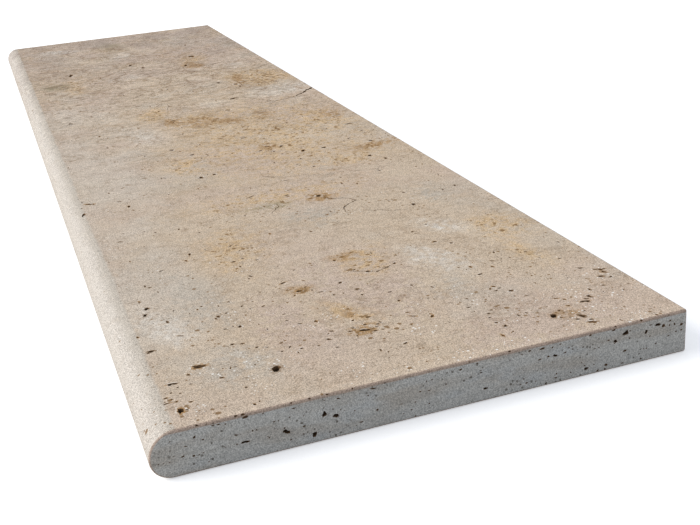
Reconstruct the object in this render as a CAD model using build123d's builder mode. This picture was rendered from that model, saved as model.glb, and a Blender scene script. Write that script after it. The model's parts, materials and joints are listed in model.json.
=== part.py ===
import os
from math import cos, pi, sin
from random import Random

from build123d import *

# A stair tread sawn from one piece of travertine, with a rounded nose along its front edge.
# X runs along the step, Y from the nose (-Y) to the back, Z up.
# The origin is the centre of the underside. All sizes are in millimetres.

length = 1400
depth = 350
thickness = 30
nose_top_radius = 17     # the nose is a little fuller above than below
arris_radius = 1.5       # every sharp edge is rubbed down by hand

# The nose is a full bullnose, so what the upper arc leaves is the lower one.
nose_bottom_radius = thickness - nose_top_radius

# An open void has an uneven mouth, is a little wider inside, and narrows to its floor.
# Each level is a depth, in widths of the void, and the size of its outline there.
void_levels = ((0.3, 1.1), (0.85, 0.5))
mouth_corners = 8
corner_jitter = 0.2      # how far a corner strays round the mouth, as a share of the even step
mouth_unevenness = 0.18
tool_start = 0.5         # each cut starts this far outside the stone
void_edge_gap = 5        # stone left between the middle of a void and the slab's edge

# Larger open voids of the tread face, as seen: distance from the near end (+X), distance from the
# nose, length, width, and turn of the length from X in degrees.
top_voids = [
    (45, 88, 7, 6.5, 0), (70, 155, 7.5, 3, 85), (70, 46, 7.5, 5, 80), (20, 24, 6.5, 3.5, 5),
    (32, 271, 6.5, 4.5, 90), (42, 300, 6.5, 2.8, 85), (47, 307, 5, 2.5, 40), (84, 338, 5, 3, 20),
    (23, 287, 5.5, 3, 10), (12, 288, 5.5, 3, 75), (106, 22, 6, 2, 85), (55, 26, 5.5, 2.5, 85),
    (176, 31, 4, 3.5, 0), (165, 28, 4, 3, 0), (153, 136, 4, 3.5, 80), (286, 280, 4.5, 3, 0),
    (353, 216, 6, 4, 85), (417, 56, 4.5, 3, 0), (415, 15, 9, 3.5, -25), (444, 24, 8, 3, 75),
    (469, 134, 5.5, 3.5, -30), (472, 148, 4, 3, 0), (448, 301, 5, 4, 85), (430, 311, 4, 3, 0),
    (504, 249, 6, 4.5, -15), (534, 234, 5, 3.5, 0), (503, 271, 5, 4, 60), (500, 322, 5, 3.5, 85),
    (587, 128, 6, 3, 0), (590, 208, 5, 3, 85), (717, 155, 6, 3.5, 80), (730, 224, 6, 4, 85),
    (786, 244, 7, 4, 85), (779, 43, 7, 4, 60), (870, 269, 8, 4, 0), (854, 271, 5, 3.5, 0),
    (894, 251, 6, 3.5, 0), (1047, 237, 11, 5, -10), (1075, 179, 10, 4.5, -10), (1107, 165, 11, 4, -5),
    (1114, 260, 14, 6, -5), (1089, 75, 12, 6, -10), (1222, 272, 9, 3, 0),
]

# Larger open voids of the near end, as seen: distance from the nose, height above the underside,
# length, width, and turn of the length from level in degrees. They lie along the bedding.
end_voids = [
    (79.5, 12, 4.5, 2.8, -10), (103, 17.5, 3.5, 2.8, 20), (110, 14.7, 4.2, 2.2, 0),
    (96, 6, 4.2, 2.5, 15), (55, 12, 4.5, 1.8, 0), (206, 8.6, 2.8, 1.7, 10),
    (254, 19.5, 3, 1.8, 0), (304.5, 23.5, 5, 2.6, 0), (297, 19.4, 2.8, 2, 0),
    (319.5, 21, 2.8, 2.2, 0), (328, 24, 3.4, 2.4, 0), (276, 5.2, 3, 2, 20),
]

# The faces that don't show get voids of the same kind, spread at random but always the same way.
hidden_seed = 11
hidden_end_gap = 20                 # no middle of a hidden void is nearer to an end than this
under_void_count = 26
under_void_widths = (3.5, 6)
edge_void_widths = (2, 3)
back_void_count = 12
far_end_void_count = 9
hidden_void_stretch = (1, 2.4)      # length over width
hidden_void_turn = 40               # either way from X, on the underside

chance = Random(hidden_seed)


def uneven_outline(void_length, void_width):
    """Corners of one void's mouth, an oval with its rim broken in and out."""
    corners = []
    for i in range(mouth_corners):
        angle = 2 * pi * (i + chance.uniform(-corner_jitter, corner_jitter)) / mouth_corners
        reach = 1 + chance.uniform(-mouth_unevenness, mouth_unevenness)
        corners.append((void_length / 2 * reach * cos(angle), void_width / 2 * reach * sin(angle)))
    return corners


def hidden_voids(count, half_length, half_width, widths, turn):
    """Places, sizes and turns of the voids of a face that doesn't show."""
    voids = []
    for i in range(count):
        width = chance.uniform(*widths)
        voids.append((chance.uniform(-half_length, half_length), chance.uniform(-half_width, half_width),
                      width * chance.uniform(*hidden_void_stretch), width, chance.uniform(-turn, turn)))
    return voids


def open_voids(face, voids):
    """Cut voids, given as x, y, length, width and turn, into the face of this plane."""
    cuts = []
    for x, y, long, width, turn in voids:
        mouth = Plane(face * Location((x, y, 0), (0, 0, turn)))
        corners = uneven_outline(long, width)
        outlines = []
        for level, size in [(-tool_start, 1)] + [(share * width, size) for share, size in void_levels]:
            with BuildSketch(mouth.offset(-level)) as outline:
                Polygon(*[(a * size, b * size) for a, b in corners], align=None)
            outlines.append(outline.sketch)
        cuts.append(loft(outlines, ruled=True, mode=Mode.PRIVATE))
    add(cuts, mode=Mode.SUBTRACT)


with BuildPart() as tread:
    # the section, drawn looking along the step
    with BuildSketch(Plane.YZ.offset(-length / 2)):
        with BuildLine():
            nose_y, back_y = -depth / 2, depth / 2
            Line((back_y, 0), (nose_y + nose_bottom_radius, 0))
            TangentArc((nose_y + nose_bottom_radius, 0), (nose_y, nose_bottom_radius), tangent=(-1, 0))
            TangentArc((nose_y, nose_bottom_radius), (nose_y + nose_top_radius, thickness), tangent=(0, 1))
            Polyline((nose_y + nose_top_radius, thickness), (back_y, thickness), (back_y, 0))
        make_face()
    extrude(amount=length)

    # ease both ends all the way round the section, and the two long back edges
    along_x = tread.faces().sort_by(Axis.X)
    back = tread.faces().sort_by(Axis.Y)[-1]
    fillet(along_x[0].edges() + along_x[-1].edges() + back.edges().filter_by(Axis.X), radius=arris_radius)

    # a void that a smaller slab no longer holds is left out
    seen_on_top = [(length / 2 - from_end, from_nose - depth / 2, long, width, turn)
                   for from_end, from_nose, long, width, turn in top_voids
                   if from_end < length - void_edge_gap and from_nose < depth - void_edge_gap]
    open_voids(Plane.XY.offset(thickness), seen_on_top)

    # the edge faces' own planes are at half thickness, with their x level and the normal out of the stone
    mid = thickness / 2
    near_end = Plane(origin=(length / 2, 0, mid), x_dir=(0, 1, 0), z_dir=(1, 0, 0))
    seen_on_end = [(from_nose - depth / 2, height - mid, long, width, turn)
                   for from_nose, height, long, width, turn in end_voids
                   if from_nose < depth - void_edge_gap and height < thickness - void_edge_gap]
    open_voids(near_end, seen_on_end)

    half_length = length / 2 - hidden_end_gap
    half_depth = depth / 2 - nose_top_radius - void_edge_gap
    half_height = mid - void_edge_gap
    under = Plane(origin=(0, 0, 0), x_dir=(1, 0, 0), z_dir=(0, 0, -1))
    open_voids(under, hidden_voids(under_void_count, half_length, half_depth, under_void_widths,
                                   hidden_void_turn))
    rear = Plane(origin=(0, back_y, mid), x_dir=(-1, 0, 0), z_dir=(0, 1, 0))
    open_voids(rear, hidden_voids(back_void_count, half_length, half_height, edge_void_widths, 0))
    far_end = Plane(origin=(-length / 2, 0, mid), x_dir=(0, -1, 0), z_dir=(-1, 0, 0))
    open_voids(far_end, hidden_voids(far_end_void_count, half_depth, half_height, edge_void_widths, 0))

tread.part.label = "tread"

os.makedirs("parts", exist_ok=True)
export_step(tread.part, "parts/tread.step")
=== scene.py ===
import json
import math
import random

import bmesh
import bpy
from mathutils import Matrix, Vector

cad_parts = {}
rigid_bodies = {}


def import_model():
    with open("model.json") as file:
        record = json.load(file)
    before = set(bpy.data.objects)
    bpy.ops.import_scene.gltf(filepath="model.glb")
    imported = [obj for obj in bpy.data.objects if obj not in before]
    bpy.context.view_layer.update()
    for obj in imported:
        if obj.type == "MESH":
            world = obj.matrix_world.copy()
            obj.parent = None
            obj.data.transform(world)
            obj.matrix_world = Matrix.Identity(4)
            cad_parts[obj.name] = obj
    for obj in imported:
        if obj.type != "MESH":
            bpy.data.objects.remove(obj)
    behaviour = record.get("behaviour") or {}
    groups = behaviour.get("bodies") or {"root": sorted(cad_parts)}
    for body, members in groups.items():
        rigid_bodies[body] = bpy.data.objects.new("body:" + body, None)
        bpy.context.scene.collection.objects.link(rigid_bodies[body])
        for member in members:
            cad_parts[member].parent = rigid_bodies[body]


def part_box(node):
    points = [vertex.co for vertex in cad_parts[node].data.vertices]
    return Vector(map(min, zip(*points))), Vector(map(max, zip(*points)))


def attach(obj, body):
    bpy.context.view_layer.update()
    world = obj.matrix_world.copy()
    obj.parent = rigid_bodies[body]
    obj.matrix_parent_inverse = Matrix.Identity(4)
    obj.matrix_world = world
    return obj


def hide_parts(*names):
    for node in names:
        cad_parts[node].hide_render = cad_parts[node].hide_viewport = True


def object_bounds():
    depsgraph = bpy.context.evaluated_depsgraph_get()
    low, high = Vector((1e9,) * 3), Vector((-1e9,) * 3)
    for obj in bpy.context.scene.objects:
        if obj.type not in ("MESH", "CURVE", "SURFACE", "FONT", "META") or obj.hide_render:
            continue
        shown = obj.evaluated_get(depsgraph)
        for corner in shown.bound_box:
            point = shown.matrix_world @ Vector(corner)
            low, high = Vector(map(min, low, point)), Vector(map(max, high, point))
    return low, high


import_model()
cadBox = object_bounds()
mm = 0.001


# maths on wires, written as expressions
def operator(operation, flipped=False):
    return lambda self, other=None: self.math(operation, other, flipped)


class Wire:
    __add__, __radd__ = operator("ADD"), operator("ADD", True)
    __sub__, __rsub__ = operator("SUBTRACT"), operator("SUBTRACT", True)
    __mul__, __rmul__ = operator("MULTIPLY"), operator("MULTIPLY", True)
    __truediv__, __rtruediv__ = operator("DIVIDE"), operator("DIVIDE", True)
    __pow__ = operator("POWER")
    __gt__ = operator("GREATER_THAN")
    __abs__ = operator("ABSOLUTE")
    atLeast = operator("MAXIMUM")

    def __init__(self, graph, socket):
        self.graph = graph
        self.socket = socket

    def math(self, operation, other, flipped):
        values = [self] if other is None else [self, other]
        if flipped:
            values.reverse()
        return self.graph.node("ShaderNodeMath", {"operation": operation}, dict(enumerate(values)))

    # a soft step from one value to another
    def ramp(self, low, high, below=0.0, above=1.0):
        return self.graph.node("ShaderNodeMapRange", {"interpolation_type": "SMOOTHSTEP"},
                               {0: self, 1: low, 2: high, 3: below, 4: above})

    def out(self, name):
        return Wire(self.graph, self.socket.node.outputs[name])


class Graph:
    def __init__(self, tree):
        self.tree = tree

    # settings first, then the sockets' values or wires
    def node(self, kind, settings=None, sockets=None):
        made = self.tree.nodes.new(kind)
        for name, value in (settings or {}).items():
            setattr(made, name, value)
        for key, value in (sockets or {}).items():
            socket = self.pick(made.inputs, key)
            for single in value if isinstance(value, list) else [value]:
                if isinstance(single, Wire):
                    self.tree.links.new(single.socket, socket)
                else:
                    socket.default_value = single
        usable = [s for s in made.outputs if s.enabled]
        return Wire(self, usable[0]) if usable else made

    def pick(self, sockets, key):
        if isinstance(key, int):
            return sockets[key]
        return next(s for s in sockets if s.name == key and s.enabled)

    def mix(self, factor, a, b, blend="MIX"):
        settings = {"data_type": "RGBA", "blend_type": blend, "clamp_factor": True}
        return self.node("ShaderNodeMix", settings, {0: factor, 6: a, 7: b})

    def moved(self, vector, location, scale=(1, 1, 1)):
        return self.node("ShaderNodeMapping", {"vector_type": "POINT"},
                         {"Vector": vector, "Location": location, "Scale": scale})

    def parts(self, vector):
        split = self.node("ShaderNodeSeparateXYZ", {}, {0: vector})
        return split.out("X"), split.out("Y"), split.out("Z")


def srgb(r, g, b):
    def linear(c):
        c /= 255
        return c / 12.92 if c <= 0.04045 else ((c + 0.055) / 1.055) ** 2.4
    return (linear(r), linear(g), linear(b), 1.0)


def addObject(name, data, family=None):
    made = bpy.data.objects.new(name, data)
    (family or bpy.context.scene.collection).objects.link(made)
    return made


def addMesh(name, verts, faces, family=None):
    mesh = bpy.data.meshes.new(name)
    mesh.from_pydata(verts, [], faces)
    mesh.update()
    return addObject(name, mesh, family)


def emptyNodes(owner):
    owner.use_nodes = True
    owner.node_tree.nodes.clear()
    return owner.node_tree


# in millimetres: the box comes from the model, the rest is as in its source
low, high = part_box("tread")
slab = {
    "length": (high.x - low.x) / mm,
    "depth": (high.y - low.y) / mm,
    "thickness": (high.z - low.z) / mm,
    "noseTopRadius": 17,
    "arrisRadius": 1.5,
    "leastCorner": 0.05,   # of the arris at the very end, so that no points fall together
    "noseSteps": 24,
    "arrisSteps": 4,
    "gridStep": 25,
}
halfLength = slab["length"] / 2
halfDepth = slab["depth"] / 2


# points round the section, set in evenly, from the back arris round by the nose
def sectionLoop(inset):
    top = slab["thickness"]
    upper = slab["noseTopRadius"]
    lower = top - upper
    arris = slab["arrisRadius"]
    corner = arris - inset
    loop = []

    def arc(cy, cz, radius, start, end, count):
        for i in range(count + 1):
            a = math.radians(start + (end - start) * i / count)
            loop.append((cy + radius * math.cos(a), cz + radius * math.sin(a)))

    def line(y0, y1, z, count):
        for i in range(1, count):
            loop.append((y0 + (y1 - y0) * i / count, z))

    flat = round(slab["depth"] / slab["gridStep"])
    back = halfDepth - arris
    arc(back, arris, corner, 0, -90, slab["arrisSteps"])
    line(back, -halfDepth + lower, inset, flat)
    arc(-halfDepth + lower, lower, lower - inset, -90, -180, slab["noseSteps"])
    loop.pop()
    arc(-halfDepth + upper, lower, upper - inset, 180, 90, slab["noseSteps"])
    line(-halfDepth + upper, back, top - inset, flat)
    arc(back, top - arris, corner, 90, 0, slab["arrisSteps"])
    return loop


# rings of that section from end to end, drawn in where the ends are eased
def makeSlab():
    radius = slab["arrisRadius"]
    steps = slab["arrisSteps"]
    easing = []
    for i in range(steps + 1):
        a = math.pi / 2 * i / steps
        inset = min(radius * (1 - math.sin(a)), radius - slab["leastCorner"])
        easing.append((halfLength - radius * (1 - math.cos(a)), inset))
    across = round((slab["length"] - 2 * radius) / slab["gridStep"])
    inner = halfLength - radius
    rings = [(-x, inset) for x, inset in easing]
    rings += [(-inner + 2 * inner * i / across, 0) for i in range(1, across)]
    rings += [(x, inset) for x, inset in reversed(easing)]
    verts = []
    faces = []
    for x, inset in rings:
        verts += [(x * mm, y * mm, z * mm) for y, z in sectionLoop(inset)]
    count = len(verts) // len(rings)
    for r in range(len(rings) - 1):
        for i in range(count):
            a = r * count + i
            b = r * count + (i + 1) % count
            faces.append((a, b, b + count, a + count))
    faces.append(tuple(range(count)))
    faces.append(tuple(reversed(range(len(verts) - count, len(verts)))))
    made = addMesh("slabBlank", verts, faces)
    shape = bmesh.new()
    shape.from_mesh(made.data)
    bmesh.ops.recalc_face_normals(shape, faces=shape.faces)
    shape.to_mesh(made.data)
    shape.free()
    return made


# The large voids repeat the source's lists and random draws, so they lie in the solid's own places.
# The small ones on the top and the near end are listed one by one.
voids = {
    # from the near end, from the nose, length, width, turn, kind unless deep
    "topLarge": [
        (45, 88, 7, 6.5, 0), (70, 155, 7.5, 3, 85), (70, 46, 7.5, 5, 80, "hollow"), (20, 24, 6.5, 3.5, 5),
        (32, 271, 6.5, 4.5, 90), (42, 300, 6.5, 2.8, 85), (47, 307, 5, 2.5, 40),
        (84, 338, 5, 3, 20, "hollow"), (23, 287, 5.5, 3, 10), (12, 288, 5.5, 3, 75, "hollow"),
        (106, 22, 6, 2, 85), (55, 26, 5.5, 2.5, 85), (176, 31, 4, 3.5, 0), (165, 28, 4, 3, 0),
        (153, 136, 4, 3.5, 80, "hollow"), (286, 280, 4.5, 3, 0), (353, 216, 6, 4, 85), (417, 56, 4.5, 3, 0),
        (415, 15, 9, 3.5, -25, "hollow"), (444, 24, 8, 3, 75), (469, 134, 5.5, 3.5, -30),
        (472, 148, 4, 3, 0), (448, 301, 5, 4, 85), (430, 311, 4, 3, 0), (504, 249, 6, 4.5, -15),
        (534, 234, 5, 3.5, 0), (503, 271, 5, 4, 60), (500, 322, 5, 3.5, 85), (587, 128, 6, 3, 0),
        (590, 208, 5, 3, 85), (717, 155, 6, 3.5, 80), (730, 224, 6, 4, 85), (786, 244, 7, 4, 85),
        (779, 43, 7, 4, 60), (870, 269, 8, 4, 0), (854, 271, 5, 3.5, 0), (894, 251, 6, 3.5, 0),
        (1047, 237, 11, 5, -10), (1075, 179, 10, 4.5, -10), (1107, 165, 11, 4, -5), (1114, 260, 14, 6, -5),
        (1089, 75, 12, 6, -10), (1222, 272, 9, 3, 0),
    ],
    # from the nose, height, length, width, turn
    "endLarge": [
        (79.5, 12, 4.5, 2.8, -10), (103, 17.5, 3.5, 2.8, 20), (110, 14.7, 4.2, 2.2, 0),
        (96, 6, 4.2, 2.5, 15), (55, 12, 4.5, 1.8, 0), (206, 8.6, 2.8, 1.7, 10), (254, 19.5, 3, 1.8, 0),
        (304.5, 23.5, 5, 2.6, 0), (297, 19.4, 2.8, 2, 0), (319.5, 21, 2.8, 2.2, 0), (328, 24, 3.4, 2.4, 0),
        (276, 5.2, 3, 2, 20),
    ],
    # x, y, length, width
    "topSmall": [
        (616, 165, 6, 1.6), (607, 152, 4, 2.2), (584, 149, 3, 1.6), (641, 150, 4, 2), (651, 132, 5, 1.4),
        (649, 115, 3, 2), (645, 111, 4, 1.5), (619, 91, 4, 3), (611, 86, 3, 2), (614, 82, 3.4, 2.2),
        (632, 97, 4, 1.6), (628, 89, 3, 1.3), (641, 65, 3, 1.6), (645, 61, 3, 2), (651, 59, 2.2, 1.8),
        (660, 59, 2.8, 2.4), (667, 62, 3.6, 3.2), (677, 62, 3, 1.2), (630, 54, 3, 2), (622, 50, 2, 1.4),
        (631, 27, 4.4, 2.8), (627, 27, 2.2, 1.6), (597, 17, 3, 2.4), (590, 24, 2.4, 1.4), (580, 17, 4, 2),
        (625, 16, 5, 2), (618, 15, 3, 1.4), (636, 10, 2.6, 2), (660, -4, 3, 2.6), (634, -9, 3, 2),
        (625, -9, 3, 1.6), (612, -11, 4, 2.4), (612, -22, 3, 2), (621, -40, 3.4, 2), (632, -45, 3.6, 2.6),
        (645, -44, 2.6, 1.8), (624, -43, 2.2, 1.8), (600, -55, 3.4, 2), (591, -61, 3, 1.6),
        (580, -60, 2.4, 1.6), (636, -65, 2.6, 1.8), (637, -54, 2.4, 1.6), (622, -74, 2.6, 2.2),
        (634, -77, 2.6, 2), (624, -84, 2.6, 1.4), (611, -97, 3.2, 2), (609, -103, 3, 2),
        (621, -90, 2.4, 1.6), (585, -92, 4, 3.4), (584, -102, 2.8, 1.8), (560, -69, 3, 1.6),
        (541, -89, 3, 1.6), (559, -95, 2.6, 2), (539, -108, 2.4, 1.6), (651, -120, 3, 2),
        (641, -109, 2.4, 1.2), (580, -131, 6, 1.6), (525, -144, 5.5, 2), (582, 86, 4, 3), (515, 94, 4, 3.4),
        (547, -8, 4, 3), (564, -1, 5, 3), (527, -45, 6, 2.4), (537, 17, 4, 3.4), (532, 40, 3.4, 3),
        (536, 32, 4.6, 2), (540, 24, 4, 2), (529, 9, 4.6, 1.8), (556, -26, 6, 1.6), (472, -50, 4, 2),
        (464, -59, 3, 2), (467, -67, 4, 2.4), (446, -57, 3, 1.6), (432, -61, 4, 1.8), (457, -121, 4, 2),
        (374, -141, 5, 2.2), (680, -147, 3, 1.6), (668, -157, 6, 1.6), (560, 134, 3, 2), (506, 84, 4, 3),
        (250, -164, 6, 2.6), (264, -125, 5, 2.6), (215, -109, 4, 2), (222, -116, 4, 2.2), (201, -91, 6, 2),
        (212, -73, 5, 2), (159, 46, 8, 3), (171, 35, 5, 2.4), (157, 152, 5, 3), (75, 153, 9, 2.6),
        (120, 152, 10, 3), (40, 144, 6, 2.6), (257, 66, 5, 2.6), (305, 116, 4, 3.6), (286, 29, 6, 1.8),
        (317, 23, 6, 2), (330, 16, 5, 2.2), (317, -14, 10, 2), (144, -31, 6, 4), (120, 139, 5, 2),
        (628, -132, 3, 2.4), (627, -29, 3, 2), (634, -14, 3.4, 2.2), (622, -17, 3, 2), (635, -27, 2.6, 1.6),
        (623, -26, 2.4, 1.6), (629, -11, 2.6, 1.8), (646, -151, 2.6, 1.8), (661, -156, 3, 2),
        (664, -153, 2.4, 1.6), (656, -152, 2.2, 1.6), (659, -147, 2, 1.4), (651, -147, 2.4, 1.4),
        (668, -151, 2, 1.6), (672, -143, 3, 1.8), (650, -139, 2.6, 1.4), (553, -44, 2.6, 1.8),
        (542, -33, 2.6, 2), (550, -30, 2.2, 1.6), (541, -46, 2.4, 1.6), (663, 103, 2.6, 1.8),
        (671, 117, 2.4, 1.8), (659, 112, 2.2, 1.6), (675, 104, 2, 1.4), (654, 99, 2.4, 1.4),
        (621, 163, 6, 4), (627, 157, 5, 3), (614, 160, 4, 2.6), (631, 162, 3, 2.2), (655, 128, 4, 2.4),
        (660, 127, 3.6, 2.4), (684, 114, 4, 2.4), (680, 107, 3, 2.2), (673, 99, 3, 2), (607, 84, 3.4, 2.4),
    ],
    # y, z, length, width
    "endSmall": [
        (-118.4, 27.7, 3.5, 1.6), (-148.3, 22.7, 2, 1.6), (-137, 27.2, 1.6, 1), (-133.6, 27, 2.2, 0.9),
        (-130, 26.3, 1.4, 0.9), (-143.6, 20, 1.8, 0.9), (-153.7, 18.3, 2.4, 0.7), (-156, 12.4, 2.2, 1),
        (-150, 11.2, 1.6, 1.4), (-147, 11, 1.1, 0.9), (-144.4, 11.6, 1.2, 0.8), (-124.4, 17.7, 2.2, 1.1),
        (-125, 11.8, 1.2, 1), (-142, 5, 1, 0.8), (-132, 12, 1, 0.8), (-115, 18, 1, 1.2),
        (-112.7, 18, 0.9, 1), (-106, 11, 1.2, 0.9), (-108, 27.4, 1.2, 0.8), (-89.5, 26, 2.6, 0.9),
        (-85, 13, 2.2, 0.8), (-93.4, 6.2, 1.5, 0.9), (-85.6, 8, 1.5, 1), (-96.4, 14.8, 1.3, 1.1),
        (-92.8, 21, 1.1, 0.8), (-62, 18, 1, 0.9), (-53.6, 15, 1, 1), (-40.8, 26.5, 3.6, 1.1),
        (-39.6, 12, 1.9, 1.5), (-49.9, 6.5, 2.4, 1), (-24.2, 12, 1.8, 0.7), (-18, 6.5, 1.4, 0.8),
        (-15.3, 11, 1.2, 0.8), (-7.5, 23, 1, 1), (-4, 23.2, 1, 1.1), (-5.8, 16.6, 2.2, 0.7),
        (-15.8, 1.6, 1.4, 1), (-6.4, 7.7, 1.2, 1), (-170, 11.3, 1.2, 0.8), (-162, 23.5, 1.2, 0.7),
        (-66.6, 19.4, 0.9, 0.8), (-84.5, 19.8, 1, 0.7), (14.8, 25.3, 2.4, 1.4), (28.5, 20, 1.4, 1.1),
        (5, 18, 1.3, 1.1), (26, 27, 1.7, 0.8), (56, 26, 1.8, 0.8), (61.4, 26.9, 2.3, 1.1),
        (70, 26.4, 3.6, 1.4), (77, 25.5, 1.9, 1.1), (82.6, 26.6, 1.4, 1.1), (68.6, 19.4, 2.6, 1),
        (74.2, 20, 2.1, 1.4), (86, 20, 2.3, 1.1), (91.3, 21.2, 1.7, 1), (88.7, 22.7, 1, 1),
        (103.8, 27.8, 1.7, 1.3), (120.5, 27.5, 3.2, 1.4), (132.5, 24.2, 1.3, 1), (147.9, 25, 2.2, 0.8),
        (157.1, 22.3, 3, 2.5), (162.2, 24.8, 1.7, 1.5), (165.5, 21.7, 1.6, 1.9), (161.8, 21.7, 1.3, 1.1),
        (170.8, 20.3, 2.2, 1.8), (170.8, 16.4, 1.9, 1.3), (166.9, 16, 1.4, 1.1), (161.5, 14.4, 1.6, 1),
        (151.8, 11, 1.8, 1), (147.3, 17.2, 1.4, 1), (142.9, 9.4, 1, 1), (145, 9.1, 1.2, 0.9),
        (128.9, 11.1, 2.6, 1.4), (132.3, 19.2, 1.4, 1.2), (117, 21.2, 1.4, 1.2), (99, 20.8, 1.3, 1),
        (107, 17.8, 2.2, 0.6), (110, 17.8, 1.3, 0.6), (99.9, 7.5, 1.4, 1.1), (106.6, 6.6, 1.1, 0.9),
        (115.3, 4.4, 2.4, 1.7), (109.2, 1.8, 2, 1.4), (127.2, 2.8, 1.8, 1.1), (141.2, 2.7, 1.3, 0.9),
        (79.8, 6.7, 1.7, 1.2), (59, 5.4, 1.8, 1.1), (54.7, 5.4, 1.7, 0.8), (65.5, 5, 1.1, 0.8),
        (57.1, 8.6, 1.1, 0.9), (89.8, 5.2, 1.2, 0.9), (72.5, 1.5, 1.1, 2.4), (114.7, 1.5, 1, 2.2),
        (77.2, 15.5, 1.7, 0.6), (110, 24.4, 0.9, 0.8),
    ],
    # y of nicks in the near end's upper arris
    "nicks": [-146, -123.5, -119.5, -91, -80, -69, -53.8, 48, 122, 141],
    "nickLengths": (1.4, 2.6),
    "nickWidths": (1.2, 1.8),
    "nickInset": 0.3,
    "smallTurn": 40,
    "smallSize": 0.85,
    "endTurn": 10,
    "seed": 7,
    # the source's, for faces that don't show: how many, widths, turn
    "hidden": {"under": (26, (3.5, 6), 40), "back": (12, (2, 3), 0), "farEnd": (9, (2, 3), 0)},
    "hiddenStretch": (1, 2.4),
    "edgeGap": 5,
    "endGap": 20,
    "mouthCorners": 8,
    "sourceSeed": 11,
}


# each face's middle, its two directions and the way out of the stone
def slabFaces():
    tall = slab["thickness"]
    x, y, z = Vector((1, 0, 0)), Vector((0, 1, 0)), Vector((0, 0, 1))
    return {
        "top": (z * tall, x, y, z),
        "nearEnd": (x * halfLength, y, z, x),
        "under": (z * 0, x, -y, -z),
        "back": (y * halfDepth + z * tall / 2, -x, z, y),
        "farEnd": (-x * halfLength + z * tall / 2, -y, z, -x),
    }


def spread(chance, reach):
    return chance.uniform(-reach, reach)


# a void's spot, its length's direction, the way out, length, width and kind
def onFace(face, u, v, long, wide, turn, kind):
    middle, across, up, out = slabFaces()[face]
    a = math.radians(turn)
    along = across * math.cos(a) + up * math.sin(a)
    return (middle + across * u + up * v, along, out, long, wide, kind)


# the solid's own voids, drawn in its order
def sourceVoids():
    chance = random.Random(voids["sourceSeed"])
    placed = []

    def skipOutlines(count):
        for i in range(count * voids["mouthCorners"] * 2):
            chance.random()

    for fromEnd, fromNose, long, wide, turn, *kind in voids["topLarge"]:
        kind = kind[0] if kind else "deep"
        placed.append(onFace("top", halfLength - fromEnd, fromNose - halfDepth, long, wide, turn, kind))
    for fromNose, height, long, wide, turn in voids["endLarge"]:
        placed.append(onFace("nearEnd", fromNose - halfDepth, height, long, wide, turn, "deep"))
    skipOutlines(len(voids["topLarge"]) + len(voids["endLarge"]))
    alongX = halfLength - voids["endGap"]
    alongY = halfDepth - slab["noseTopRadius"] - voids["edgeGap"]
    upright = slab["thickness"] / 2 - voids["edgeGap"]
    reaches = {"under": (alongX, alongY), "back": (alongX, upright), "farEnd": (alongY, upright)}
    for face, (count, widths, turn) in voids["hidden"].items():
        reachU, reachV = reaches[face]
        for i in range(count):
            wide = chance.uniform(*widths)
            u = spread(chance, reachU)
            v = spread(chance, reachV)
            long = wide * chance.uniform(*voids["hiddenStretch"])
            placed.append(onFace(face, u, v, long, wide, spread(chance, turn), "deep"))
        skipOutlines(count)
    return placed


def smallVoids():
    chance = random.Random(voids["seed"])
    placed = []
    size = voids["smallSize"]
    for x, y, long, wide in voids["topSmall"]:
        turn = 90 + spread(chance, voids["smallTurn"])
        placed.append(onFace("top", x, y, long * size, wide * size, turn, "small"))
    for y, z, long, wide in voids["endSmall"]:
        turn = spread(chance, voids["endTurn"])
        placed.append(onFace("nearEnd", y, z, long, wide, turn, "small"))
    inset = voids["nickInset"]
    out = Vector((1, 0, 1)).normalized()
    for y in voids["nicks"]:
        spot = Vector((halfLength - inset, y, slab["thickness"] - inset))
        long = chance.uniform(*voids["nickLengths"])
        wide = chance.uniform(*voids["nickWidths"])
        placed.append((spot, Vector((0, 1, 0)), out, long, wide, "small"))
    return placed


# In half widths: corners round the mouth, how far it strays from round, rings as reach, depth and stain.
voidKinds = {
    "deep": {"corners": 12, "stray": 0.42, "rings": ((0.95, 0.18, 0.62), (0.9, 0.5, 0.8), (0.55, 0.95, 1)),
             "bottom": 1.15, "variants": 6},
    "hollow": {"corners": 12, "stray": 0.46, "rings": ((0.88, 0.22, 0.64), (0.55, 0.5, 0.84)),
               "bottom": 0.6, "variants": 4},
    "small": {"corners": 7, "stray": 0.5, "rings": ((0.85, 0.45, 0.76),), "bottom": 0.95, "variants": 8},
}

# a skin round each mouth, too thin to be seen, carries the stain of the rim
voidSkin = {"reach": 2.1, "lift": 0.004, "sink": 0.014, "clearance": 0.5, "rimStain": 0.5}

# how unevenly they are broken out, as shares of the reach or of a step
voidRoughness = {"lobes": (2, 3, 5), "leastLobe": 0.05, "cornerStep": 0.25, "cornerReach": 0.22,
                 "ring": 0.12, "bottomShift": 0.15}


# the first and last of a kind's shapes
def shapeNumbers(kind):
    first = 0
    for name, values in voidKinds.items():
        if name == kind:
            return first, first + values["variants"] - 1
        first += values["variants"]


# the mouth's corners: angle and reach
def mouthOutline(values, chance):
    rough = voidRoughness
    lobes = []
    for n in rough["lobes"]:
        size = chance.uniform(rough["leastLobe"], values["stray"]) / n ** 0.5
        lobes.append((n, size, chance.uniform(0, 2 * math.pi)))
    outline = []
    for i in range(values["corners"]):
        a = 2 * math.pi * (i + spread(chance, rough["cornerStep"])) / values["corners"]
        reach = 1 + sum(size * math.cos(n * a + start) for n, size, start in lobes)
        outline.append((a, reach + spread(chance, rough["cornerReach"])))
    return outline


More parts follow.
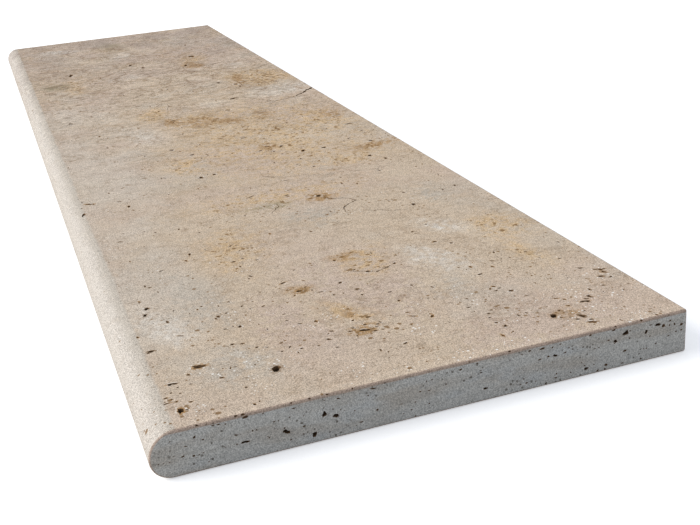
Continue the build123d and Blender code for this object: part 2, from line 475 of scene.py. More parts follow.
def makeVoidShape(name, kind, chance, family):
    values = voidKinds[kind]
    corners = values["corners"]
    outline = mouthOutline(values, chance)
    # each level: reach, height, stain, and how unevenly it follows the mouth
    skin = voidSkin["reach"]
    levels = [(skin, voidSkin["clearance"], 0, 0), (skin, voidSkin["lift"], 0, 0),
              (1, -voidSkin["sink"], voidSkin["rimStain"], 0)]
    levels += [(reach, -depth, stain, voidRoughness["ring"]) for reach, depth, stain in values["rings"]]
    verts = []
    stains = []
    for reach, z, stain, unevenness in levels:
        for a, out in outline:
            own = reach * out * (1 + spread(chance, unevenness))
            if reach == skin:
                own = reach * (1 + out) / 2
            verts.append((own * math.cos(a), own * math.sin(a), z))
            stains.append(stain)
    aside = voidRoughness["bottomShift"]
    verts.append((spread(chance, aside), spread(chance, aside), -values["bottom"]))
    stains.append(values["rings"][-1][2])
    faces = [tuple(range(corners))]
    for level in range(len(levels) - 1):
        for i in range(corners):
            a = level * corners + i
            b = level * corners + (i + 1) % corners
            faces.append((a, a + corners, b + corners, b))
    last = (len(levels) - 1) * corners
    for i in range(corners):
        faces.append((last + i, len(verts) - 1, last + (i + 1) % corners))
    made = addMesh(name, verts, faces, family)
    layer = made.data.attributes.new("voidness", "FLOAT", "CORNER")
    for loop in made.data.loops:
        layer.data[loop.index].value = stains[loop.vertex_index]


def makeVoidShapes():
    chance = random.Random(voids["seed"])
    family = bpy.data.collections.new("voidShapes")
    for kind in voidKinds:
        first, last = shapeNumbers(kind)
        for i in range(first, last + 1):
            makeVoidShape(f"voidShape{i:02d}", kind, chance, family)
    return family


# a point for each void, with what the tree needs to know
def makePlaces(placed):
    made = addMesh("voidPlaces", [place[0] * mm for place in placed], [])
    attributes = made.data.attributes
    for key, values in (("voidAlong", [p[1] for p in placed]), ("voidOut", [p[2] for p in placed]),
                        ("voidSize", [Vector((p[3], p[4], p[4])) * mm / 2 for p in placed])):
        layer = attributes.new(key, "FLOAT_VECTOR", "POINT")
        for item, value in zip(layer.data, values):
            item.vector = value
    layer = attributes.new("voidShape", "INT", "POINT")
    for i, place in enumerate(placed):
        first, last = shapeNumbers(place[5])
        layer.data[i].value = first + i % (last - first + 1)
    return made


# healed cracks and an open one, as seen on the top: width, then points
veins = {
    "lines": [
        (4, (-90, 179), (-84, 173), (-73, 163), (-59, 151), (-50, 141)),
        (1.3, (-50, 141), (-44, 127), (-40, 111), (-64, 96), (-88, 82), (-93, 57), (-106, 31)),
        (1.1, (350, 40), (360, 45), (362, 52), (366, 58), (376, 67), (381, 60),
         (387, 52), (395, 49), (407, 47)),
        (1, (350, 2), (358, 1), (364, -4), (371, -10)),
        (0.9, (532, 40), (537, 32), (540, 24), (537, 17), (532, 9), (527, 2)),
        (0.8, (255, 12), (263, 15), (272, 22), (278, 30)),
        (0.7, (556, 112), (563, 113), (569, 109), (571, 104)),
        (1.1, (-108, -9), (-94, -11), (-82, -15), (-70, -16)),
        (1.4, (-353, 61), (-322, 87), (-332, 103), (-342, 119)),
        (1.2, (-266, 104), (-238, 117), (-248, 131), (-257, 145), (-265, 157), (-277, 175)),
        (1.6, (-195, 96), (-176, 101), (-163, 99), (-150, 101)),
        (1.3, (-282, -55), (-270, -38), (-270, -24), (-274, -9)),
        (1, (-339, -112), (-312, -87), (-299, -61), (-274, -40)),
        (1, (-354, -48), (-380, -27), (-352, -13), (-354, 5)), (1, (-196, -25), (-180, -35), (-168, -45)),
        (1.2, (-430, -62), (-420, -71), (-412, -77)), (1.2, (-91, -131), (-78, -135), (-70, -139)),
        (0.6, (260, 12), (275, 31), (280, 50), (291, 66), (289, 87), (298, 106), (298, 124)),
        (1, (407, 59), (415, 78), (428, 98)), (1.4, (-177, 47), (-189, 70), (-198, 97)),
        (1.4, (-252, 121), (-251, 153)), (1.4, (-329, 80), (-336, 115)),
    ],
    "pointSpacing": 1.2,
    "tipShare": 0.35,
    "wander": 6.4,
    "wanderSize": 6,
    "profileSize": 2,
    "gapeSize": 4,
    "gapeRange": (0.38, 0.62),
    "leastGape": 0.4,
    "stain": 0.6,
}


def makeVeins():
    data = bpy.data.curves.new("veins", "CURVE")
    data.dimensions = "3D"
    data.twist_mode = "Z_UP"
    for wide, *points in veins["lines"]:
        line = data.splines.new("POLY")
        line.points.add(len(points) - 1)
        for i, (x, y) in enumerate(points):
            isTip = i in (0, len(points) - 1)
            line.points[i].co = (x * mm, y * mm, slab["thickness"] * mm, 1)
            line.points[i].radius = wide / 2 * (veins["tipShare"] if isTip else 1)
    return addObject("veins", data)


# small voids that have no place of their own
scatter = {
    "Top per m2": 4000.0,
    "Edge per m2": 13000.0,
    "Nose per m2": 1200.0,
    "Smallest radius": 0.28 * mm,
    "Largest radius": 1.05 * mm,
    "Skew to small": 3.2,
    "Edge size": 0.55,
    "Cluster size": 38.0 * mm,
    "Row height": 5.0 * mm,
    "Bareness": 0.45,
    "Seed": 5,
}

# what counts as flat or as an edge, how patchy they lie, and their form
scatterForm = {"flatFrom": 0.995, "edgeFrom": 0.9, "patchStep": 0.2, "inPatches": 1.6, "between": 0.08,
               "longest": 2.4, "deep": 1.2, "turn": 0.4, "tilt": 0.1}


def addTreeInputs(tree):
    face = tree.interface
    face.new_socket("Geometry", in_out="INPUT", socket_type="NodeSocketGeometry")
    for name, value in scatter.items():
        kind = "NodeSocketInt" if name == "Seed" else "NodeSocketFloat"
        face.new_socket(name, in_out="INPUT", socket_type=kind).default_value = value
    others = {"Void places": "Object", "Veins": "Object", "Void shapes": "Collection", "Stone": "Material"}
    for name, kind in others.items():
        face.new_socket(name, in_out="INPUT", socket_type=f"NodeSocket{kind}")
    face.new_socket("Geometry", in_out="OUTPUT", socket_type="NodeSocketGeometry")


def setVoids(graph, shapes, points, shape, out, along, size):
    upright = graph.node("FunctionNodeAlignRotationToVector", {"axis": "Z"}, {"Vector": out})
    turned = graph.node("FunctionNodeAlignRotationToVector", {"axis": "X", "pivot_axis": "Z"},
                        {"Rotation": upright, "Vector": along})
    return graph.node("GeometryNodeInstanceOnPoints", {}, {
        "Points": points, "Instance": shapes, "Pick Instance": True, "Instance Index": shape,
        "Rotation": turned, "Scale": size})


def ownVoids(graph, given, shapes):
    def read(key, kind="FLOAT_VECTOR"):
        return graph.node("GeometryNodeInputNamedAttribute", {"data_type": kind}, {"Name": key})

    points = graph.node("GeometryNodeObjectInfo", {}, {0: given.out("Void places")}).out("Geometry")
    points = graph.node("GeometryNodeMeshToPoints", {}, {0: points})
    return setVoids(graph, shapes, points, read("voidShape", "INT"), read("voidOut"), read("voidAlong"),
                    read("voidSize"))


# spread densely at first, then thinned where the stone is tight
def scatteredVoids(graph, given, shapes):
    form = scatterForm
    seed = given.out("Seed")

    def chance(low, high, offset, kind="FLOAT"):
        return graph.node("FunctionNodeRandomValue", {"data_type": kind},
                          {"Min": low, "Max": high, "Seed": seed + offset})

    most = given.out("Edge per m2")
    points = graph.node("GeometryNodeDistributePointsOnFaces", {},
                        {"Mesh": given, "Density": most, "Seed": seed})
    out = points.out("Normal")
    outX, outY, outZ = graph.parts(out)
    isFlat = abs(outZ) > form["flatFrom"]
    isEnd = abs(outX) > form["edgeFrom"]
    isEdge = isEnd.atLeast(outY > form["edgeFrom"])
    isNose = (1 - isFlat) * (1 - isEdge)
    wanted = isFlat * given.out("Top per m2") + isEdge * most + isNose * given.out("Nose per m2")
    wanted = wanted / most
    x, y, z = graph.parts(graph.node("GeometryNodeInputPosition"))
    cluster = 1 / given.out("Cluster size")
    row = 1 / given.out("Row height")
    where = graph.node("ShaderNodeCombineXYZ", {}, {0: x * cluster, 1: y * cluster, 2: z * row})
    patch = graph.node("ShaderNodeTexNoise", {}, {"Vector": where, "Scale": 1.0, "Detail": 1.5})
    openness = patch.ramp(given.out("Bareness"), given.out("Bareness") + form["patchStep"])
    bare = chance(0.0, 1.0, 1) > wanted * (openness * form["inPatches"] + form["between"])
    kept = graph.node("GeometryNodeDeleteGeometry", {"domain": "POINT"}, {0: points, "Selection": bare})
    least = given.out("Smallest radius")
    skewed = chance(0.0, 1.0, 2) ** given.out("Skew to small")
    reach = least + (given.out("Largest radius") - least) * skewed
    reach = reach * graph.node("ShaderNodeMix", {"data_type": "FLOAT"},
                               {0: isFlat, 2: given.out("Edge size"), 3: 1.0})
    long = reach * chance(1.0, form["longest"], 3)
    size = graph.node("ShaderNodeCombineXYZ", {}, {0: long, 1: reach, 2: reach * form["deep"]})
    along = graph.node("ShaderNodeCombineXYZ", {}, {
        0: 1 - isEnd, 1: isEnd + chance(-form["turn"], form["turn"], 4),
        2: chance(-form["tilt"], form["tilt"], 6)})
    shape = chance(*shapeNumbers("small"), 5, "INT")
    return setVoids(graph, shapes, kept, shape, out, along, size)


# each line cuts as its own body, since grooves that cross in one leave slivers
def veinGrooves(graph, given):
    lines = graph.node("GeometryNodeObjectInfo", {}, {0: given.out("Veins")}).out("Geometry")
    lines = graph.node("GeometryNodeResampleCurve", {"mode": "LENGTH"},
                       {0: lines, "Length": veins["pointSpacing"] * mm})
    wander = graph.node("ShaderNodeTexNoise", {}, {"Scale": 1 / (veins["wanderSize"] * mm), "Detail": 2.0})
    reach = veins["wander"] * mm
    shift = graph.node("ShaderNodeVectorMath", {"operation": "SUBTRACT"},
                       {0: wander.out("Color"), 1: (0.5, 0.5, 0.5)})
    shift = graph.node("ShaderNodeVectorMath", {"operation": "MULTIPLY"}, {0: shift, 1: (reach, reach, 0)})
    lines = graph.node("GeometryNodeSetPosition", {}, {0: lines, "Offset": shift})
    lines = graph.node("GeometryNodeSplitToInstances", {"domain": "CURVE"},
                       {0: lines, "Group ID": graph.node("GeometryNodeInputIndex")})
    side = veins["profileSize"] * mm
    profile = graph.node("GeometryNodeCurvePrimitiveQuadrilateral", {}, {"Width": side, "Height": side})
    gape = graph.node("ShaderNodeTexNoise", {}, {"Scale": 1 / (veins["gapeSize"] * mm), "Detail": 1.0})
    gape = gape.ramp(*veins["gapeRange"], veins["leastGape"], 1.0)
    gape = graph.node("GeometryNodeInputRadius") * gape
    grooves = graph.node("GeometryNodeCurveToMesh", {},
                         {0: lines, 1: profile, "Scale": gape, "Fill Caps": True})
    return graph.node("GeometryNodeStoreNamedAttribute", {"data_type": "FLOAT", "domain": "CORNER"},
                      {0: grooves, "Name": "voidness", "Value": veins["stain"]})


def buildVoidTree():
    tree = bpy.data.node_groups.new("openVoids", "GeometryNodeTree")
    addTreeInputs(tree)
    graph = Graph(tree)
    given = graph.node("NodeGroupInput")
    shapes = graph.node("GeometryNodeCollectionInfo", {},
                        {0: given.out("Void shapes"), "Separate Children": True, "Reset Children": True})
    tools = [ownVoids(graph, given, shapes), scatteredVoids(graph, given, shapes)]
    tools = [graph.node("GeometryNodeJoinGeometry", {}, {0: tools}), veinGrooves(graph, given)]
    stone = graph.node("GeometryNodeMeshBoolean", {"operation": "DIFFERENCE", "solver": "MANIFOLD"},
                       {"Mesh 1": given, "Mesh 2": tools})
    stone = graph.node("GeometryNodeRealizeInstances", {}, {0: stone})
    stone = graph.node("GeometryNodeSetMaterial", {}, {0: stone, "Material": given.out("Stone")})
    graph.node("NodeGroupOutput", {}, {0: stone})
    return tree


def openVoids(blank, look):
    shapes = makeVoidShapes()
    inputs = {
        "Void places": makePlaces(sourceVoids() + smallVoids()),
        "Veins": makeVeins(),
        "Void shapes": shapes,
        "Stone": look,
    }
    tree = buildVoidTree()
    cutting = blank.modifiers.new("openVoids", "NODES")
    cutting.node_group = tree
    for socket in tree.interface.items_tree:
        if socket.in_out == "INPUT" and socket.name in inputs:
            cutting[socket.identifier] = inputs[socket.name]
    scene = bpy.context.evaluated_depsgraph_get()
    mesh = bpy.data.meshes.new_from_object(blank.evaluated_get(scene))
    mesh.name = "travertineTread"
    helpers = [inputs["Void places"], inputs["Veins"], *shapes.objects, blank]
    bpy.data.batch_remove([shapes, *helpers, *(helper.data for helper in helpers)])
    return addObject("travertineTread", mesh)


shading = {"straightFrom": 0.9995, "voidFrom": 0.6, "smoothBelow": 38}


# smooth over the nose, the arrises and inside the voids
def shadeFlatFaces(tread):
    shape = bmesh.new()
    shape.from_mesh(tread.data)
    layer = shape.loops.layers.float["voidness"]
    for face in shape.faces:
        straight = max(abs(n) for n in face.normal) > shading["straightFrom"]
        face.smooth = not straight or face.loops[0][layer] > shading["voidFrom"]
    for edge in shape.edges:
        edge.smooth = edge.calc_face_angle(0) < math.radians(shading["smoothBelow"])
    shape.to_mesh(tread.data)
    shape.free()


# colours as they look in plain light, places in millimetres
stone = {
    "honed": (198, 180, 158),
    "pinkish": (195, 176, 159),
    "greyish": (189, 178, 163),
    "ochre": (201, 174, 138),
    "umber": (171, 140, 103),
    "olive": (150, 138, 112),
    "pale": (212, 203, 190),
    # greyer stone tone and painted shade, laid on the far part of the bed
    "farGreyAndShade": (159, 145, 137),
    "band": (201, 190, 176),
    "mottleDark": (150, 132, 112),
    "mottlePale": (216, 200, 182),
    "vein": (122, 96, 68),
    # greyer than the top: partly the sawn finish, partly painted shade
    "sawn": (194, 191, 183),
    "sawnBrown": (182, 174, 162),
    "sawnGrey": (188, 188, 184),
    # painted shade for the eased arris at the ends
    "arris": (172, 150, 134),
    "noseRubbed": (201, 194, 185),
    "noseInner": (192, 183, 170),
    "freckle": (128, 99, 64),
    "speck": (112, 90, 64),
    "speckSawn": (84, 76, 64),
    "crystal": (250, 247, 240),
    "voidWall": (112, 86, 60),
    "voidWallSawn": (98, 88, 76),
    # painted shade for the deep part of the voids
    "voidDepthShade": (46, 34, 23),
    "rimOchre": (164, 128, 84),
    "rimBrown": (128, 104, 78),
    # in the order they are laid on: middle, reach along and across, strength, turn if any
    "stains": {
        "pinkish": [
            (-430, 80, 120, 60, 0.6), (672, 90, 40, 60, 0.6), (560, 0, 80, 50, 0.5),
            (-180, -90, 70, 30, 0.4), (600, -60, 60, 26, 0.5), (280, 90, 40, 50, 0.4),
            (-660, 40, 60, 60, 0.5), (-560, -60, 60, 30, 0.4),
        ],
        "greyish": [
            (400, 20, 32, 26, 0.4), (395, 128, 24, 18, 0.4), (640, -110, 30, 26, 0.5),
            (590, 60, 30, 30, 0.3), (-560, 90, 60, 40, 0.3), (520, -110, 60, 26, 0.5),
        ],
        "pale": [
            (480, 110, 34, 14, 0.4, 40), (535, 70, 44, 20, 0.35, 30), (-95, 130, 34, 46, 0.45, 10),
            (-70, 35, 24, 34, 0.35), (-500, -15, 40, 24, 0.4), (-605, -95, 20, 34, 0.6, -20),
            (-300, 120, 30, 24, 0.25), (120, 90, 40, 30, 0.3), (560, -140, 40, 16, 0.4, 20),
            (40, -60, 60, 26, 0.4, 10), (-310, -20, 40, 24, 0.25),
        ],
        "ochre": [
            (110, 60, 210, 125, 0.34), (70, 125, 100, 44, 0.4, 10), (160, 20, 60, 70, 0.3),
            (-195, 132, 50, 40, 0.8), (-60, -36, 40, 18, 0.5, -15), (330, 10, 34, 90, 0.35),
            (500, 143, 34, 30, 0.4), (515, 25, 36, 22, 0.45, -20), (5, 18, 46, 60, 0.5),
            (440, -60, 76, 34, 0.3, -20), (180, -44, 44, 24, 0.4), (-390, 80, 60, 22, 0.4, -10),
            (-300, -105, 50, 14, 0.5), (560, 134, 44, 14, 0.3, 10), (250, 100, 30, 60, 0.35),
            (600, -20, 40, 14, 0.35, 30),
        ],
        "olive": [
            (-600, -14, 50, 24, 0.45), (-310, -125, 24, 22, 0.6), (-630, 60, 80, 40, 0.2),
            (-480, 165, 60, 24, 0.25), (352, -8, 14, 30, 0.3),
        ],
        "umber": [
            (8, 4, 26, 30, 0.4), (26, 38, 20, 14, 0.5, 40), (217, 148, 14, 34, 0.5, 10),
            (14, 80, 34, 15, 0.26), (350, 42, 14, 13, 0.6), (-345, 72, 22, 14, 0.8),
            (-190, 104, 44, 9, 0.5, -5), (600, -20, 8, 5, 0.5), (629, -20, 8, 11, 0.95),
            (547, -39, 10, 12, 0.5), (668, 108, 9, 12, 0.4, 30), (-10, -24, 20, 14, 0.45),
            (160, 46, 14, 10, 0.45), (66, 150, 20, 12, 0.5), (500, 12, 10, 16, 0.4),
        ],
    },
    "crystals": [
        (638, -126, 12, 9, 1, 30), (655, 150, 14, 8, 1), (612, 60, 24, 14, 0.6), (645, 20, 14, 20, 0.7),
        (684, -144, 9, 8, 1), (676, -50, 12, 14, 0.9), (688, 138, 12, 11, 1), (622, 160, 16, 13, 1),
        (650, 124, 18, 13, 1), (692, 30, 8, 60, 0.9), (648, 116, 12, 8, 1), (600, -40, 20, 30, 0.5),
        (560, -90, 30, 20, 0.5), (684, 110, 8, 14, 1), (655, 70, 12, 12, 0.7), (672, 120, 12, 14, 0.8),
        (640, -90, 20, 30, 0.6),
    ],
    # rounded lumps in the bed: middle, reach along and across
    "lumps": [
        (-298, 130, 30, 26), (-508, -14, 28, 22), (-412, -56, 30, 24), (-312, -22, 30, 24),
        (-580, -60, 34, 26), (-240, 60, 26, 20),
    ],
    # the pale band behind the nose
    "bandEdge": (-92, -52),
    "bandSlope": 0.075,
    "bandRagged": 22,
    "bandFrom": (-300, -110),
    "bandUntil": (540, 660),
    "growing": (-420, 380),
    # where the far part turns greyer and darker: partly tone, partly painted shade
    "farGreyingAndShade": (-760, -60),
    # strength at the near end, and what is added towards the far end
    "mottle": (0.14, 0.2),
    "net": (0.14, 0.26),
    "thread": (0.14, 0.36),
    "grain": (0.15, 0.8),
    "streak": (0.3, 1.3),
    # size and shift
    "veinNoises": ((46, 735), (24, 1235)),
    "threadNoises": ((9, 300), (6, 900)),
    "freckleNoises": ((5.5, 83), (3.4, 97)),
    "threadStretch": (1, 0.16, 1),
    "streakStretch": (1, 0.5, 2.5),
    "edgeWobble": 2.2,
    # distances from an edge between which a change comes in
    "noseEdge": (1.4, -1.4),
    "noseInside": (12, 1),
    "sawnEdge": (0.14, 0.04),
    "nearEndHighlight": (10, 3),
    "arrisShadeBand": (1.6, 1.1),
    "rubbedLine": (2.4, 1.5),
    "bumpDepth": 0.00022,
}


# the stone's node tree, with the noises and masks that its layers share
travertine = bpy.data.materials.new("travertine")
rock = Graph(emptyNodes(travertine))
place = rock.moved(rock.node("ShaderNodeTexCoord").out("Object"), (0, 0, 0), (1 / mm, 1 / mm, 1 / mm))
x, y, z = rock.parts(place)


def noise(vector, size, detail, roughness, wander=0.0):
    return rock.node("ShaderNodeTexNoise", {}, {"Vector": vector, "Scale": 1 / size, "Detail": detail,
                                                "Roughness": roughness, "Distortion": wander})


# lumps of about this size; flatness presses them into level beds
def cloud(size, detail=3.0, roughness=0.55, flatness=2.5, wander=0.0, shift=0.0):
    pressed = rock.moved(place, (shift, shift * 0.7, shift * 0.3), (1, 1, flatness))
    return noise(pressed, size, detail, roughness, wander)


# lines where a noise passes its middle value
def crossing(cloudy, core, rim):
    return abs(cloudy - 0.5).ramp(core, rim, 1.0, 0.0)


# 0 to 1 on the way to an edge, between two distances from it
def near(along, edge, distances):
    return along.ramp(edge - distances[0], edge - distances[1])


warp = cloud(22, 3, 0.6, 1, 0, 310)
warpFine = cloud(6, 2, 0.6, 1, 0, 77)
ragged = (warp - 0.5) * 2.4 + (warpFine - 0.5) * 1.4
grain = cloud(2.2, 4, 0.7, 1.2, shift=930)
grainFine = cloud(0.72, 2, 0.6, 1, shift=60)
wobble = (warp - 0.5) * stone["edgeWobble"] * 2 + (warpFine - 0.5) * stone["edgeWobble"]
noseEdge = -halfDepth + slab["noseTopRadius"]
isNose = 1 - near(y + wobble, noseEdge, stone["noseEdge"])
isEnd = near(abs(x) + wobble * 0.02, halfLength, stone["sawnEdge"])
isSawn = isEnd.atLeast(near(y + wobble * 0.02, halfDepth, stone["sawnEdge"]))
growing = x.ramp(*stone["growing"], 1.0, 0.0)
bandEdge = y + x.atLeast(0.0) * stone["bandSlope"] + ragged * stone["bandRagged"]
band = (1 - bandEdge.ramp(*stone["bandEdge"])) * x.ramp(*stone["bandFrom"])
band = band * x.ramp(*stone["bandUntil"], 1.0, 0.2) * cloud(60, 3, shift=1100).ramp(0.36, 0.62, 0.15, 0.6)


# a strength that grows towards the far end
def strength(name):
    nearEnd, more = stone[name]
    return nearEnd + growing * more


# 1 in the middle of a patch, 0 at this share of its reach
def within(cx, cy, along, across, turn=0, reach=1.5):
    own = rock.node("ShaderNodeMapping", {"vector_type": "TEXTURE"}, {
        "Vector": place, "Location": (cx, cy, 0), "Rotation": (0, 0, math.radians(turn)),
        "Scale": (along * reach, across * reach, halfLength)})
    return rock.node("ShaderNodeTexGradient", {"gradient_type": "SPHERICAL"}, {"Vector": own}).out("Fac")


def spots(listed):
    total = None
    for cx, cy, along, across, amount, *turn in listed:
        one = within(cx, cy, along, across, *turn) * amount
        total = one if total is None else total.atLeast(one)
    return (total * (1.3 + ragged * 1.6 + (warpFine - 0.5) * 3.0)).ramp(0.04, 0.66)


stains = {kind: spots(listed) for kind, listed in stone["stains"].items()}
stained = stains["ochre"].atLeast(stains["umber"])


# closed pores and grains, one to a cell, in patches
def specks(size, fill, patch, shift):
    moved = rock.moved(place, (shift, shift, shift))
    cells = rock.node("ShaderNodeTexVoronoi", {"feature": "F1"}, {"Vector": moved, "Scale": 1 / size})
    own = rock.parts(cells.out("Color"))[0]
    reach = (own - (1 - fill)).atLeast(0.0) / fill * 0.34 * patch
    return 1 - (cells.out("Distance") - reach + (grainFine - 0.5) * 0.16).ramp(-0.05, 0.06)


def colour(name):
    return srgb(*stone[name])


def over(amount, under, name):
    return rock.mix(amount, under, colour(name))


# top and underside, with the band and the stains
def bedColour():
    base = over(cloud(110, 2, shift=40).ramp(0.42, 0.66) * 0.7, colour("honed"), "pinkish")
    base = over(cloud(75, 4, wander=0.6, shift=150).ramp(0.5, 0.68) * 0.5, base, "greyish")
    base = over(band, base, "band")
    for kind, mask in stains.items():
        base = over(mask, base, kind)
    return base


def mottled(base):
    patch = cloud(70, 3, shift=455).ramp(0.36, 0.62)
    strong = (0.06 + 0.22 * patch) * (1 + growing * 1.2)
    base = over(cloud(15, 5, 0.68, shift=400).ramp(0.48, 0.74) * strong, base, "mottleDark")
    return over(cloud(11, 4, 0.65, shift=520).ramp(0.5, 0.74) * strength("mottle"), base, "mottlePale")


# a network of ochre, fine veins, and threads across the step
def veined(base):
    net = crossing(cloud(26, 4, 0.62, wander=0.8, shift=835), 0.0, 0.06)
    netted = cloud(60, 2, shift=880).ramp(0.4, 0.6) * (1 - band)
    base = over(net * netted * strength("net"), base, "umber")
    crowded = cloud(50, 2, shift=780).ramp(0.42, 0.56)
    for size, shift in stone["veinNoises"]:
        vein = crossing(cloud(size, 4, 0.6, wander=0.5, shift=shift), 0.003, 0.02)
        vein = vein * cloud(14, 2, shift=shift + 50).ramp(0.38, 0.56)
        base = over(vein * (0.08 + 0.18 * crowded + growing * 0.42), base, "vein")
    drawn = rock.moved(place, (0, 0, 0), stone["threadStretch"])
    for size, shift in stone["threadNoises"]:
        thread = crossing(noise(rock.moved(drawn, (shift, shift, 0)), size, 3.0, 0.6, 0.7), 0.006, 0.045)
        thread = thread * cloud(55, 3, shift=shift + 15).ramp(0.42, 0.62)
        base = over(thread * strength("thread"), base, "vein")
    return base


def lumpy(base):
    for cx, cy, along, across in stone["lumps"]:
        away = (1 - within(cx, cy, along, across, reach=2)) * 2 + ragged * 0.25
        base = over(away.ramp(0.5, 0.95, 0.25, 0.0), base, "mottlePale")
        base = over(abs(away - 1.0).ramp(0.02, 0.12, 0.35, 0.0), base, "vein")
    return base


# the nose is rubbed paler; towards the far end the bed is greyer in tone and darker with painted shade
def noseAndFarPart(base):
    nose = over(near(y + wobble, noseEdge, stone["noseInside"]), colour("noseRubbed"), "noseInner")
    nose = over(cloud(9, 4, 0.62, flatness=1, shift=400).ramp(0.5, 0.74) * 0.18, nose, "mottleDark")
    base = rock.mix(isNose * 0.9, base, nose)
    # painted shade: a darker grey over the far part, partly the stone's own greyer tone
    patch = cloud(70, 4, 0.6, shift=990).ramp(0.36, 0.66, 0.1, 0.58)
    return over(x.ramp(*stone["farGreyingAndShade"], 1.0, 0.0) * patch, base, "farGreyAndShade")


# ends and back: greyer, in level beds, rubbed along their top; the grey is partly the sawn finish and
# partly painted shade. A painted highlight by the near end and painted shade along the ends' arrises are
# also laid on here
def sawnFacesWithPaintedLight(base):
    # the sawn grey is partly the finish and partly painted shade
    sawn = over(cloud(60, 3, flatness=5, shift=610).ramp(0.45, 0.68) * 0.8, colour("sawn"), "sawnBrown")
    sawn = over(cloud(35, 3, flatness=3, shift=700).ramp(0.5, 0.7) * 0.7, sawn, "sawnGrey")
    # painted highlight: a paler strip on the top along the near end
    paintedHighlight = near(x, halfLength, stone["nearEndHighlight"]) * 0.2
    base = over(paintedHighlight * (1 - isNose), base, "mottlePale")
    # painted shade: a darker band along the ends' eased top arris, carried down the top of the end faces
    base = over(near(abs(x), halfLength, stone["arrisShadeBand"]) * 0.8, base, "arris")
    rubbed = near(z + wobble * 0.25, slab["thickness"], stone["rubbedLine"])
    return rock.mix(isSawn * (1 - rubbed), base, sawn)


# crystals from under a millimetre up, and streaks
def grained(base):
    shade = 1 + (grain - 0.5) * strength("grain") + (grainFine - 0.5) * (2.5 - 0.4 * isSawn)
    drawn = rock.moved(place, (0, 0, 0), stone["streakStretch"])
    shade = shade + (noise(drawn, 4.5, 4.0, 0.75) - 0.5) * strength("streak")
    shadeColour = rock.node("ShaderNodeCombineColor", {}, {0: shade, 1: shade, 2: shade})
    return rock.mix(1.0, base, shadeColour, "MULTIPLY")


def specked(base):
    dark = over(isSawn, colour("speck"), "speckSawn")
    coarse = specks(2.8, 0.3, cloud(30, 2, shift=44).ramp(0.42, 0.6).atLeast(stained * 1.2), 11)
    base = rock.mix(coarse * (0.55 - 0.25 * isNose + 0.15 * isSawn), base, dark)
    fine = specks(1.6, 0.24, cloud(18, 2, shift=62).ramp(0.4, 0.58), 29)
    base = rock.mix(fine * (0.6 - 0.25 * isNose + 0.25 * isSawn), base, dark)
    freckled = cloud(45, 3, shift=140).ramp(0.42, 0.6).atLeast(stained * 2.0) * (1 - isSawn) * (1 - band)
    for size, shift in stone["freckleNoises"]:
        base = over(specks(size, 0.4, freckled, shift) * 0.85, base, "freckle")
    sparkling = (cloud(40, 2, shift=80).ramp(0.46, 0.66) * 0.75).atLeast(spots(stone["crystals"]) * 1.1)
    sparkling = sparkling.atLeast(stained * 0.7) * (1 - isSawn)
    return over(specks(2.2, 0.5, sparkling, 47) * 0.8, base, "crystal")


# stained round the mouth, chipped pale in places, partly as painted highlight on the rim; brown on the wall
# and darker below with painted shade
def voidColours(base):
    voidness = rock.node("ShaderNodeAttribute", {"attribute_name": "voidness"}).out("Fac")
    rim = over(cloud(26, 2, shift=240).ramp(0.42, 0.58), colour("rimBrown"), "rimOchre")
    broken = cloud(2.4, 3, 0.6, 1, shift=365).ramp(0.34, 0.6)
    amount = (voidness + (broken - 0.5) * 0.3).ramp(0.12, 0.42) * voidness.ramp(0.02, 0.12)
    amount = amount * (0.3 + 0.6 * cloud(17, 2, shift=350).ramp(0.4, 0.62)) * (1 - 0.85 * isSawn)
    base = rock.mix(amount, base, rim)
    # pale at the rim: partly chipped crystal, partly painted highlight
    chippedRimAndHighlight = voidness.ramp(0.05, 0.2) * voidness.ramp(0.32, 0.46, 1.0, 0.0)
    chippedRimAndHighlight = chippedRimAndHighlight * cloud(3, 2, shift=515).ramp(0.52, 0.6)
    base = over(chippedRimAndHighlight * (0.45 - 0.3 * isSawn), base, "crystal")
    wall = over(isSawn, colour("voidWall"), "voidWallSawn")
    base = rock.mix(voidness.ramp(0.48, 0.58), base, wall)
    # painted shade: darker towards the bottom of each void
    return over(voidness.ramp(0.6, 0.95) * (0.95 - 0.25 * isSawn), base, "voidDepthShade")


def finishStone():
    base = bedColour()
    for layer in (mottled, veined, lumpy, noseAndFarPart, sawnFacesWithPaintedLight, grained, specked, voidColours):
        base = layer(base)
    height = grain * 0.8 + grainFine * 0.35
    bump = rock.node("ShaderNodeBump", {},
                     {"Strength": 0.6, "Distance": stone["bumpDepth"], "Height": height})
    surface = rock.node("ShaderNodeBsdfPrincipled", {}, {
        "Base Color": base, "Roughness": 0.86 + (grain - 0.5) * 0.25, "Specular IOR Level": 0.1,
        "Normal": bump})
    rock.node("ShaderNodeOutputMaterial", {}, {"Surface": surface})


print("slab")
blank = makeSlab()
print("open voids")
finishStone()
tread = openVoids(blank, travertine)
shadeFlatFaces(tread)
print("stone faces", len(tread.data.polygons))

# the view of the photograph, found from the slab's own edges
camera = {
    "place": (1226.2, -221.1, 327.2),
    "azimuth": 71.93,
    "elevation": 21.635,
    "roll": -4.435,
    "lens": 55.29,
    "farthest": 50,
}


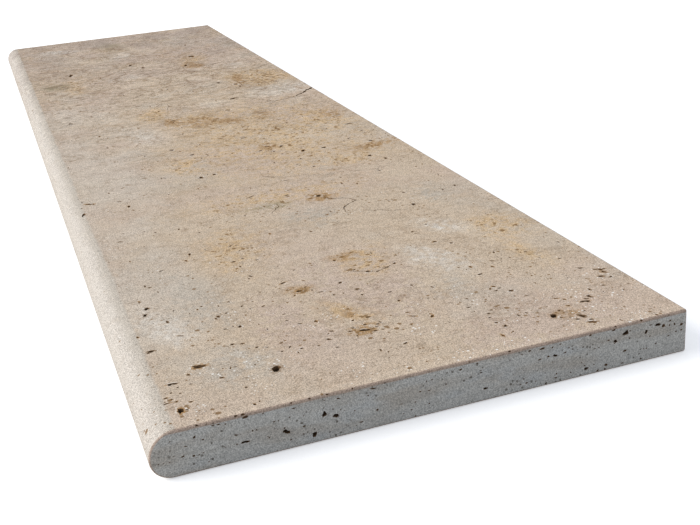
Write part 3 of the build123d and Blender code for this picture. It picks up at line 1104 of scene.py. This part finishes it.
def makeCamera():
    az = math.radians(camera["azimuth"])
    el = math.radians(camera["elevation"])
    back = Vector((math.sin(az) * math.cos(el), -math.cos(az) * math.cos(el), math.sin(el)))
    right = (-back).cross(Vector((0, 0, 1))).normalized()
    up = right.cross(-back)
    roll = math.radians(camera["roll"])
    axisX = right * math.cos(roll) + up * math.sin(roll)
    axisY = up * math.cos(roll) - right * math.sin(roll)
    data = bpy.data.cameras.new("photoView")
    data.lens = camera["lens"]
    data.clip_end = camera["farthest"]
    made = addObject("photoView", data)
    turn = Matrix((axisX, axisY, back)).transposed().to_4x4()
    made.matrix_world = Matrix.Translation(Vector(camera["place"]) * mm) @ turn
    bpy.context.scene.camera = made


# a wide soft key light from beyond the nose, and an even, slightly cool room
lights = {
    "keyDirection": (-0.3, -0.78, 0.55),
    "keySpread": 40,
    "keyStrength": 2.8,
    "keyColour": (1.0, 0.965, 0.91),
    "skyStrength": 0.54,
    "skyColour": (0.93, 1.0, 1.13),
}

# what the floor gives back to the stone, and how the camera sees it
floorLook = {"reach": 40, "gap": 0.0002, "bounce": 0.5, "seen": 0.85, "glow": 0.42}


# 1 for the rays that should see a white room
def whiteRays(graph):
    path = graph.node("ShaderNodeLightPath")
    rays = path.out("Is Camera Ray")
    return rays.atLeast(path.out("Is Glossy Ray")).atLeast(path.out("Is Transmission Ray"))


def grey(value):
    return (value, value, value, 1)


def makeLight():
    data = bpy.data.lights.new("keyLight", "SUN")
    data.angle = math.radians(lights["keySpread"])
    data.energy = lights["keyStrength"]
    data.color = lights["keyColour"]
    made = addObject("keyLight", data)
    made.rotation_euler = Vector(lights["keyDirection"]).to_track_quat("Z", "Y").to_euler()


def makeRoom():
    world = bpy.data.worlds.new("softRoom")
    bpy.context.scene.world = world
    graph = Graph(emptyNodes(world))
    sky = graph.node("ShaderNodeBackground", {},
                     {"Color": (*lights["skyColour"], 1), "Strength": lights["skyStrength"]})
    white = graph.node("ShaderNodeBackground", {}, {"Color": grey(1)})
    both = graph.node("ShaderNodeMixShader", {}, {0: whiteRays(graph), 1: sky, 2: white})
    graph.node("ShaderNodeOutputWorld", {}, {"Surface": both})


def makeFloor():
    size = floorLook["reach"]
    corners = [(-size, -size, 0), (size, -size, 0), (size, size, 0), (-size, size, 0)]
    floor = addMesh("floor", corners, [(0, 1, 2, 3)])
    floor.location.z = cadBox[0].z - floorLook["gap"]
    look = bpy.data.materials.new("paleFloor")
    graph = Graph(emptyNodes(look))
    plain = graph.node("ShaderNodeBsdfDiffuse", {}, {"Color": grey(floorLook["bounce"])})
    bright = graph.node("ShaderNodeBsdfDiffuse", {}, {"Color": grey(floorLook["seen"])})
    glow = graph.node("ShaderNodeEmission", {}, {"Color": grey(1), "Strength": floorLook["glow"]})
    bright = graph.node("ShaderNodeAddShader", {}, {0: bright, 1: glow})
    surface = graph.node("ShaderNodeMixShader", {}, {0: whiteRays(graph), 1: plain, 2: bright})
    graph.node("ShaderNodeOutputMaterial", {}, {"Surface": surface})
    floor.data.materials.append(look)


print("camera, lights and floor")
makeCamera()
makeLight()
makeRoom()
makeFloor()

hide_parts("tread")
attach(tread, "root")

bpy.context.scene.view_settings.view_transform = "Standard"
